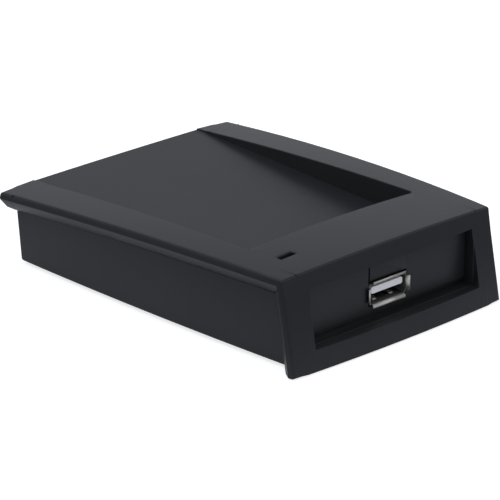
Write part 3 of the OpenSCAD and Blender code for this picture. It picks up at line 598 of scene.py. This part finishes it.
class READER_OT_socket(bpy.types.Operator):
    """The plated socket shell with flared lips and springs, its plastic tongue and its contacts"""

    bl_idname = "reader.socket"
    bl_label = "Socket"

    def execute(self, context):
        sizes = context.scene.reader_socket
        self.sheet_metal(sizes)
        self.tongue(sizes)
        # Gold flashed on phosphor bronze: a warm bright gleam in the shade over the tongue
        gold = grained("gold flash on phosphor bronze", sizes.contact_colour, roughness=0.22,
                       metallic=1.0, grain_mm=0.2, depth_mm=0.003)
        for node in ("usb_contacts", "link_pins"):
            dress(node, gold)
        return {"FINISHED"}

    def sheet_metal(self, sizes):
        """The shell with its lips and tabs, and the two springs pressed from its floor"""
        low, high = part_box("usb_shell")
        middle_z = high.z - sizes.lip_out - sizes.height / 2
        mouth = Matrix.Translation(((low.x + high.x) / 2, high.y, middle_z))
        bm = bmesh.new()
        join(bm, self.tube(sizes), mouth)
        for turn in range(4):
            span, across = sizes.width, sizes.height
            if turn % 2:
                span, across = across, span
            place = mouth @ Matrix.Rotation(turn * math.pi / 2, 4, "Y")
            join(bm, self.lip(sizes, span - 2 * sizes.lip_short, across / 2), place)
        leaves = bmesh.new()
        for side in (-1, 1):
            spring_x, floor_z = side * SPRING_PLACE * sizes.width, sizes.sheet - sizes.height / 2
            join(leaves, self.spring(sizes), mouth @ Matrix.Translation((spring_x, 0, floor_z)))
            tab_x, tab_y = side * (sizes.width - sizes.sheet) / 2, -TAB_PLACE * sizes.length
            join(bm, self.tab(sizes.tab_width, mouth.translation.z - low.z),
                 mouth @ Matrix.Translation((tab_x, tab_y, 0)))
        # The plate's colour carries painted shade inside the mouth
        metal = plated("nickel plated sheet, drawn, with painted shade in the mouth", sizes.metal_colour, roughness=0.5,
                       painted_shade_full_y=high.y - PAINTED_SHADE_FULL, painted_shade_start_y=high.y - PAINTED_SHADE_START,
                       shade=sizes.inside_shade)
        # The same plate rubbed by plugs: a dull grey glint that marks the two springs
        pressed = grained("spring leaf, dulled nickel", sizes.spring_colour, roughness=0.45,
                          metallic=1.0, grain_mm=0.25, depth_mm=0.004, spread=0.06)
        for piece in (put(bm, "socket_shell", metal, "socket_steel", "usb_shell"),
                      put(leaves, "socket_springs", pressed, "socket_steel")):
            wall = piece.modifiers.new("sheet", "SOLIDIFY")
            wall.thickness = sizes.sheet
            wall.offset = 0.0
            wall.use_even_offset = True

    def tongue(self, sizes):
        """The insulator, its tongue round along the long edges and finely chamfered at the front"""
        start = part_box("usb_shell")[1].y - TONGUE_SHARE * sizes.length
        tip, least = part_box("usb_insulator")[1].y, sizes.length / 3
        bm = copy_of("usb_insulator")
        bmesh.ops.dissolve_limit(bm, angle_limit=FLAT, verts=bm.verts[:], edges=bm.edges[:])
        long_edges = [edge for edge in bm.edges if edge.is_convex and middle(edge).y > start
                      and abs(edge.verts[0].co.y - edge.verts[1].co.y) > least]
        bmesh.ops.bevel(bm, geom=long_edges, offset=sizes.tongue_radius, segments=5, profile=0.5,
                        affect="EDGES", material=-1)
        chamfer = sizes.tongue_chamfer
        weigh(bm, lambda edge: chamfer if middle(edge).y > tip - WELD else 0.0, chamfer)
        # Moulded nylon, slightly glossy: the brightest spot of the object, with a soft edge
        plastic = grained("glass filled nylon, white", sizes.plastic_colour, roughness=0.35,
                          grain_mm=0.3, depth_mm=0.006, spread=0.03)
        put(bm, "socket_tongue", plastic, "socket_white", "usb_insulator", widest=chamfer, segments=2)

    def tube(self, sizes):
        """The shell's middle sheet: a round-cornered outline drawn back along the length"""
        part = bmesh.new()
        made = bmesh.ops.create_grid(part, x_segments=1, y_segments=1, size=0.5)["verts"]
        bmesh.ops.scale(part, vec=(sizes.width - sizes.sheet, sizes.height - sizes.sheet, 1), verts=made)
        bmesh.ops.bevel(part, geom=made, offset=sizes.corner - sizes.sheet / 2, segments=5,
                        profile=0.5, affect="VERTICES", material=-1)
        bmesh.ops.rotate(part, cent=(0, 0, 0), matrix=Matrix.Rotation(math.pi / 2, 3, "X"),
                         verts=part.verts[:])
        mouth_y = -sizes.lip_bend - sizes.sheet / 2
        bmesh.ops.translate(part, vec=(0, mouth_y, 0), verts=part.verts[:])
        outline = part.edges[:]
        bmesh.ops.delete(part, geom=part.faces[:], context="FACES_ONLY")
        grown = bmesh.ops.extrude_edge_only(part, edges=outline)
        bmesh.ops.translate(part, vec=(0, -mouth_y - sizes.length, 0), verts=new_verts(grown))
        bmesh.ops.recalc_face_normals(part, faces=part.faces[:])
        return part

    def lip(self, sizes, width, half):
        """One lip: an edge of the mouth curled outwards, then run out straight"""
        part = bmesh.new()
        start, mid = -sizes.lip_bend - sizes.sheet / 2, half - sizes.sheet / 2
        edge = part.edges.new([part.verts.new((side * width / 2, start, mid)) for side in (-1, 1)])
        spun = bmesh.ops.spin(part, geom=[edge, *edge.verts], cent=(0, start, mid + sizes.lip_bend),
                              axis=(1, 0, 0), angle=math.pi / 2, steps=8)
        last = [item for item in spun["geom_last"] if isinstance(item, bmesh.types.BMEdge)]
        grown = bmesh.ops.extrude_edge_only(part, edges=last)
        for vert in new_verts(grown):
            vert.co.z = half + sizes.lip_out
        bmesh.ops.recalc_face_normals(part, faces=part.faces[:])
        return part

    def spring(self, sizes):
        """A leaf pressed up from the shell's floor, which grips the plug"""
        part = bmesh.new()
        root_y, root_z = SPRING_RISE[0]
        edge = part.edges.new([part.verts.new((side * sizes.spring_width / 2, root_y * MM, root_z * MM))
                               for side in (-1, 1)])
        for (y0, z0), (y1, z1) in zip(SPRING_RISE, SPRING_RISE[1:]):
            grown = bmesh.ops.extrude_edge_only(part, edges=[edge])
            bmesh.ops.translate(part, vec=(0, (y1 - y0) * MM, (z1 - z0) * MM), verts=new_verts(grown))
            edge = new_edges(grown)[0]
        bmesh.ops.recalc_face_normals(part, faces=part.faces[:])
        return part

    def tab(self, width, drop):
        """A solder tab that runs down the shell's side and through the board"""
        part = bmesh.new()
        made = bmesh.ops.create_grid(part, x_segments=1, y_segments=1, size=0.5)["verts"]
        bmesh.ops.scale(part, vec=(drop, width, 1), verts=made)
        bmesh.ops.rotate(part, cent=(0, 0, 0), matrix=Matrix.Rotation(math.pi / 2, 3, "Y"), verts=made)
        bmesh.ops.translate(part, vec=(0, 0, -drop / 2), verts=made)
        return part


class READER_OT_light(bpy.types.Operator):
    """The smoked light pipe under the slot and the lamp below it"""

    bl_idname = "reader.light"
    bl_label = "Status light"

    def execute(self, context):
        sizes = context.scene.reader_fixings
        bm = copy_of("light_pipe")
        weigh(bm, lambda edge: sizes.pipe_radius, sizes.pipe_radius)
        # Polished tool, dark resin: a glossy near-black that hides the lamp until it is lit
        smoke = grained("smoked polycarbonate", sizes.pipe_colour, roughness=0.16, grain_mm=1.5,
                        depth_mm=0.003, ior=1.58)
        put(bm, "light_window", smoke, "pipe_smoke", "light_pipe", widest=sizes.pipe_radius)
        # Cast epoxy: smooth and pale, with a wet gloss
        clear = grained("clear epoxy lamp", "C9D6C6", roughness=0.12, grain_mm=1.2, depth_mm=0.002,
                        ior=1.55)
        dress("status_led", clear)
        return {"FINISHED"}


class READER_OT_boards(bpy.types.Operator):
    """The two boards and what is soldered to them, in their own finishes"""

    bl_idname = "reader.boards"
    bl_label = "Boards"

    def execute(self, context):
        # Lacquer rolled over glass cloth: dark green, half glossy, with the weave just felt
        mask = grained("solder mask over woven glass", "0F4F2B", roughness=0.3, grain_mm=0.5,
                       depth_mm=0.006)
        # Pressed against a blasted mould: an even, dry charcoal
        epoxy = grained("moulded epoxy", "1B1B1D", roughness=0.5, grain_mm=0.12, depth_mm=0.006)
        # Plated from a bath: pale metal with a soft sparkle
        tin = grained("bright tin", "C8C8C6", roughness=0.3, metallic=1.0, grain_mm=0.15)
        # Deep drawn: a clean bright can with faint stretch marks
        can = grained("drawn steel can", "CBCCCE", roughness=0.25, metallic=1.0, grain_mm=0.3)
        # Extruded and anodised: cool satin silver
        aluminium = grained("anodised aluminium can", "BFC1C4", roughness=0.3, metallic=1.0,
                            grain_mm=0.3)
        # Moulded in a polished tool: black with a clear highlight
        case = grained("glossy moulded buzzer case", "0E0E0F", roughness=0.25, grain_mm=0.6)
        # Sintered: warm brown with a dry bloom
        ceramic = grained("fired ceramic", "8A6A46", roughness=0.45, grain_mm=0.1)
        # Etched foil: dull red-brown metal
        copper = grained("etched copper", "C98258", roughness=0.35, metallic=1.0, grain_mm=0.2)
        # Blown and skinned: off-white, softly pitted, with no gloss
        foam = grained("closed cell foam", "E2E1DA", roughness=0.9, grain_mm=0.3, depth_mm=0.05)
        for nodes, material, slot in (
                (("main_board", "antenna_board"), mask, "board_green"),
                (("microcontroller", "reader_chip", "regulator", "smd_resistors"), epoxy, "chip_black"),
                (("microcontroller_leads",), tin, "lead_tin"),
                (("crystal",), can, "can_steel"),
                (("bulk_capacitor",), aluminium, "can_aluminium"),
                (("buzzer",), case, "buzzer_black"),
                (("smd_capacitors",), ceramic, "ceramic_tan"),
                (("antenna_trace",), copper, "trace_copper"),
                (("antenna_pads",), foam, "foam_white")):
            for node in nodes:
                dress(node, material)
        return {"FINISHED"}


class READER_OT_fixings(bpy.types.Operator):
    """The screws with their cross recesses, and the rubber feet"""

    bl_idname = "reader.fixings"
    bl_label = "Fixings"

    def execute(self, context):
        sizes = context.scene.reader_fixings
        # Zinc from a bath, passivated clear: a blue-grey sheen, a little clouded
        zinc = grained("zinc plated steel", sizes.screw_colour, roughness=0.32, metallic=1.0,
                       grain_mm=0.3, depth_mm=0.006)
        bm = self.four_of("case_screws", sizes.head_radius, lambda length: self.screw(sizes, length))
        put(bm, "case_screw_set", zinc, "screw_steel", "case_screws")
        dress("board_screws", zinc)
        # Moulded rubber, dusty: flat black without a highlight
        rubber = grained("moulded rubber", sizes.foot_colour, roughness=0.75, grain_mm=0.4,
                         depth_mm=0.03, spread=0.15)
        bm = self.four_of("rubber_feet", sizes.foot_radius, lambda height: self.foot(sizes, height))
        put(bm, "feet", rubber, "foot_rubber", "rubber_feet")
        return {"FINISHED"}

    def four_of(self, node, radius, make):
        """A mesh of four like parts of a given radius, in the corners of the node's box"""
        low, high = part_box(node)
        bm = bmesh.new()
        for x in (low.x + radius, high.x - radius):
            for y in (low.y + radius, high.y - radius):
                join(bm, make(high.z - low.z), Matrix.Translation((x, y, low.z)))
        return bm

    def foot(self, sizes, height):
        """A round foot, its edge on the table softly rounded"""
        part = bmesh.new()
        bmesh.ops.create_cone(part, cap_ends=True, segments=64, radius1=sizes.foot_radius,
                              radius2=sizes.foot_radius, depth=height)
        bmesh.ops.translate(part, vec=(0, 0, height / 2), verts=part.verts[:])
        sole = [edge for edge in part.edges if middle(edge).z < WELD]
        bmesh.ops.bevel(part, geom=sole, offset=sizes.sole_radius, segments=4, profile=0.5,
                        affect="EDGES", material=-1)
        shade_round(part)
        return part

    def screw(self, sizes, length):
        """A screw that points up, its head below with a cross sunk into it"""
        head_r, head_h, shank_r = sizes.head_radius, sizes.head_height, sizes.shank_radius
        # As shares of the head's radius: half the cross's arm, its reach and the head's crown
        half, reach, crown = 0.13 * head_r, 0.56 * head_r, 0.16 * head_r
        # The cross is pressed this deep and narrows by this much, and its inner corners are this wide
        sunk_z, taper, inner = 0.45 * head_h, 0.86, 2.4 * half
        lines = (-reach, -inner, -half, half, inner, reach)
        cells = len(lines) - 1
        part = bmesh.new()
        made = bmesh.ops.create_grid(part, x_segments=cells, y_segments=cells, size=cells / 2)["verts"]
        for vert in made:
            vert.co.x, vert.co.y = (lines[round(place + cells / 2)] for place in vert.co[:2])
        ring = [edge for edge in part.edges if edge.is_boundary]
        cross = [face for face in part.faces
                 if min(abs(face.calc_center_median().x), abs(face.calc_center_median().y)) < half]
        sunk = bmesh.ops.extrude_face_region(part, geom=cross)
        bmesh.ops.delete(part, geom=cross, context="FACES")
        bmesh.ops.translate(part, vec=(0, 0, sunk_z), verts=new_verts(sunk))
        bmesh.ops.scale(part, vec=(taper, taper, 1), verts=new_verts(sunk))
        shoulder = 0.3 * crown
        for radius, z in ((head_r - crown, 0.0), (head_r - shoulder, shoulder), (head_r, crown),
                          (head_r, head_h), (shank_r, head_h), (shank_r, length)):
            grown = bmesh.ops.extrude_edge_only(part, edges=ring)
            for vert in new_verts(grown):
                flat = Vector((vert.co.x, vert.co.y)).normalized() * radius
                vert.co = (flat.x, flat.y, z)
            ring = new_edges(grown)
        bmesh.ops.holes_fill(part, edges=ring)
        bmesh.ops.recalc_face_normals(part, faces=part.faces[:])
        shade_round(part)
        return part


# The studio

class READER_OT_stage(bpy.types.Operator):
    """A pale floor, soft light from all round and the camera"""

    bl_idname = "reader.stage"
    bl_label = "Studio"

    def execute(self, context):
        stage = context.scene.reader_stage
        self.floor(stage)
        self.sky(context.scene, stage)
        self.lamp("key", stage.key_size, stage.key_watts, Vector(stage.key_place))
        self.lamp("rear", stage.rear_size, stage.rear_watts, Vector(stage.rear_place))
        self.camera(context.scene, stage)
        context.scene.view_settings.view_transform = "Standard"
        return {"FINISHED"}

    def seen_rays(self, tree):
        """1 for the rays that show the background, straight or through glass, and 1 for those in gloss"""
        path = add(tree, "ShaderNodeLightPath", {})
        either = add(tree, "ShaderNodeMath", {"operation": "MAXIMUM"},
                     {0: path.outputs["Is Camera Ray"], 1: path.outputs["Is Transmission Ray"]})
        return either.outputs[0], path.outputs["Is Glossy Ray"]

    def painted_pool(self, tree, place, stage):
        """The painted pool of light's mask: 1 on the floor under and beside the object, falling off with
        the distance from its outline
        """
        folded = add(tree, "ShaderNodeVectorMath", {"operation": "ABSOLUTE"}, {0: place})
        beyond = add(tree, "ShaderNodeVectorMath", {"operation": "SUBTRACT", 1: CAD_BOX[1]},
                     {0: folded.outputs[0]})
        sides = add(tree, "ShaderNodeSeparateXYZ", {}, {"Vector": beyond.outputs[0]})
        away = add(tree, "ShaderNodeMath", {"operation": "MAXIMUM"},
                   {0: sides.outputs["X"], 1: sides.outputs["Y"]})
        near = add(tree, "ShaderNodeMapRange",
                   {"From Min": 0.0, "From Max": stage.floor_reach,
                    "To Min": 1.0, "To Max": stage.floor_far},
                   {"Value": away.outputs["Value"]})
        return near.outputs[0]

    def paper(self, stage):
        """Matt paper that takes the shadow, whitened where it is seen as the background. In gloss it
        carries a painted pool of light beside the object, and is painted darker farther off. From below
        it is clear"""
        made, tree, place = blank("studio floor")
        straight, gloss = self.seen_rays(tree)
        near = self.painted_pool(tree, place, stage)
        colour = paint(stage.floor_colour)
        # Painted pool of light: gloss sees the floor's tone and glow fall off away from the object
        faded = add(tree, "ShaderNodeMix", {"data_type": "RGBA", TONE_A: BLACK, TONE_B: colour},
                    {"Factor": near})
        tone = add(tree, "ShaderNodeMix", {"data_type": "RGBA", TONE_A: colour},
                   {"Factor": gloss, TONE_B: faded.outputs[TONE_OUT]})
        shiny = add(tree, "ShaderNodeMath", {"operation": "MULTIPLY"}, {0: near, 1: gloss})
        share = add(tree, "ShaderNodeMath", {"operation": "MULTIPLY_ADD", 1: stage.floor_gloss},
                    {0: shiny.outputs[0], 2: straight})
        level = add(tree, "ShaderNodeMath", {"operation": "MULTIPLY", 1: stage.floor_glow},
                    {0: share.outputs[0]})
        matt = add(tree, "ShaderNodeBsdfDiffuse", {}, {"Color": tone.outputs[TONE_OUT]})
        glow = add(tree, "ShaderNodeEmission", {}, {"Strength": level.outputs[0]})
        seen = add(tree, "ShaderNodeAddShader", {}, {0: matt.outputs[0], 1: glow.outputs[0]})
        under = add(tree, "ShaderNodeNewGeometry", {}).outputs["Backfacing"]
        clear = add(tree, "ShaderNodeBsdfTransparent", {})
        close(tree, add(tree, "ShaderNodeMixShader", {},
                        {"Fac": under, 1: seen.outputs[0], 2: clear.outputs[0]}))
        return made

    def floor(self, stage):
        """A wide floor at the feet's height"""
        bm = bmesh.new()
        bmesh.ops.create_grid(bm, x_segments=1, y_segments=1, size=stage.floor_size / 2)
        mesh = bpy.data.meshes.new("studio_floor")
        bm.to_mesh(mesh)
        bm.free()
        mesh.materials.append(self.paper(stage))
        floor = bpy.data.objects.new("studio_floor", mesh)
        bpy.context.scene.collection.objects.link(floor)

    def sky(self, scene, stage):
        """Even light from all round. Gloss shows a cooler, dimmer room, and the camera plain white"""
        world = bpy.data.worlds.new("studio")
        world.use_nodes = True
        tree = world.node_tree
        tree.nodes.clear()
        scene.world = world
        way = add(tree, "ShaderNodeSeparateXYZ", {},
                  {"Vector": add(tree, "ShaderNodeTexCoord", {}).outputs["Generated"]})
        room = add(tree, "ShaderNodeValToRGB", {}, {"Fac": way.outputs["Z"]})
        stops = room.color_ramp.elements
        stops.remove(stops[-1])
        for n, (height, level) in enumerate(ROOM_TONES):
            stop = stops.new(height) if n else stops[0]
            stop.position = height
            stop.color = [level * part for part in ROOM_TINT] + [1.0]
        even = add(tree, "ShaderNodeBackground", {"Strength": stage.sky_level, "Color": WHITE})
        white = add(tree, "ShaderNodeBackground", {"Strength": 1.0, "Color": WHITE})
        gloss = add(tree, "ShaderNodeBackground", {"Strength": 1.0}, {"Color": room.outputs["Color"]})
        straight, shiny = self.seen_rays(tree)
        lit = add(tree, "ShaderNodeMixShader", {},
                  {"Fac": shiny, 1: even.outputs[0], 2: gloss.outputs[0]})
        shown = add(tree, "ShaderNodeMixShader", {},
                    {"Fac": straight, 1: lit.outputs[0], 2: white.outputs[0]})
        add(tree, "ShaderNodeOutputWorld", {}, {"Surface": shown.outputs[0]})

    def lamp(self, name, size, watts, spot):
        """A square soft light that looks at the object, and that the camera doesn't see"""
        light = bpy.data.lights.new(name, "AREA")
        light.shape = "SQUARE"
        light.size = size
        light.energy = watts
        lamp = bpy.data.objects.new(name, light)
        lamp.visible_camera = False
        bpy.context.scene.collection.objects.link(lamp)
        lamp.matrix_world = Matrix.Translation(spot) @ spot.to_track_quat("Z", "Y").to_matrix().to_4x4()

    def camera(self, scene, stage):
        """The camera, turned round its target"""
        turn, rise, roll = (math.radians(a) for a in (stage.azimuth, stage.elevation, stage.roll))
        back = Vector((math.sin(turn) * math.cos(rise), -math.cos(turn) * math.cos(rise), math.sin(rise)))
        level = Vector((0, 0, 1)).cross(back).normalized()
        plumb = back.cross(level)
        right = level * math.cos(roll) + plumb * math.sin(roll)
        up = plumb * math.cos(roll) - level * math.sin(roll)
        lens = bpy.data.cameras.new("camera")
        lens.sensor_width = SENSOR_WIDTH
        lens.lens = stage.lens
        lens.clip_start = CLIP_START
        camera = bpy.data.objects.new("camera", lens)
        scene.collection.objects.link(camera)
        camera.matrix_world = (Matrix.Translation(Vector(stage.target) + back * stage.distance)
                               @ Matrix((right, up, back)).transposed().to_4x4())
        scene.camera = camera


class READER_PT_panel(bpy.types.Panel):
    """Lists the settings and the pieces"""

    bl_label = "Smart card reader"
    bl_idname = "READER_PT_panel"
    bl_space_type = "VIEW_3D"
    bl_region_type = "UI"
    bl_category = "Reader"

    def draw(self, context):
        for group in GROUPS:
            settings = getattr(context.scene, group)
            for key in settings.bl_rna.properties.keys():
                if key not in ("rna_type", "name"):
                    self.layout.prop(settings, key)
        for operator in OPERATORS:
            self.layout.operator(operator.bl_idname)


GROUPS = {"reader_housing": HousingSettings, "reader_socket": SocketSettings,
          "reader_fixings": FixingSettings, "reader_stage": StageSettings}
OPERATORS = (READER_OT_cover, READER_OT_shell, READER_OT_socket, READER_OT_light, READER_OT_boards,
             READER_OT_fixings, READER_OT_stage)
CLASSES = (*GROUPS.values(), *OPERATORS, READER_PT_panel)


def register():
    for each in CLASSES:
        bpy.utils.register_class(each)
    for name, group in GROUPS.items():
        setattr(bpy.types.Scene, name, bpy.props.PointerProperty(type=group))


def unregister():
    for name in GROUPS:
        delattr(bpy.types.Scene, name)
    for each in reversed(CLASSES):
        bpy.utils.unregister_class(each)


def main():
    """Makes every piece and the studio in turn"""
    register()
    for operator in OPERATORS:
        getattr(bpy.ops.reader, operator.bl_idname.split(".")[1])()


if __name__ == "__main__":
    main()
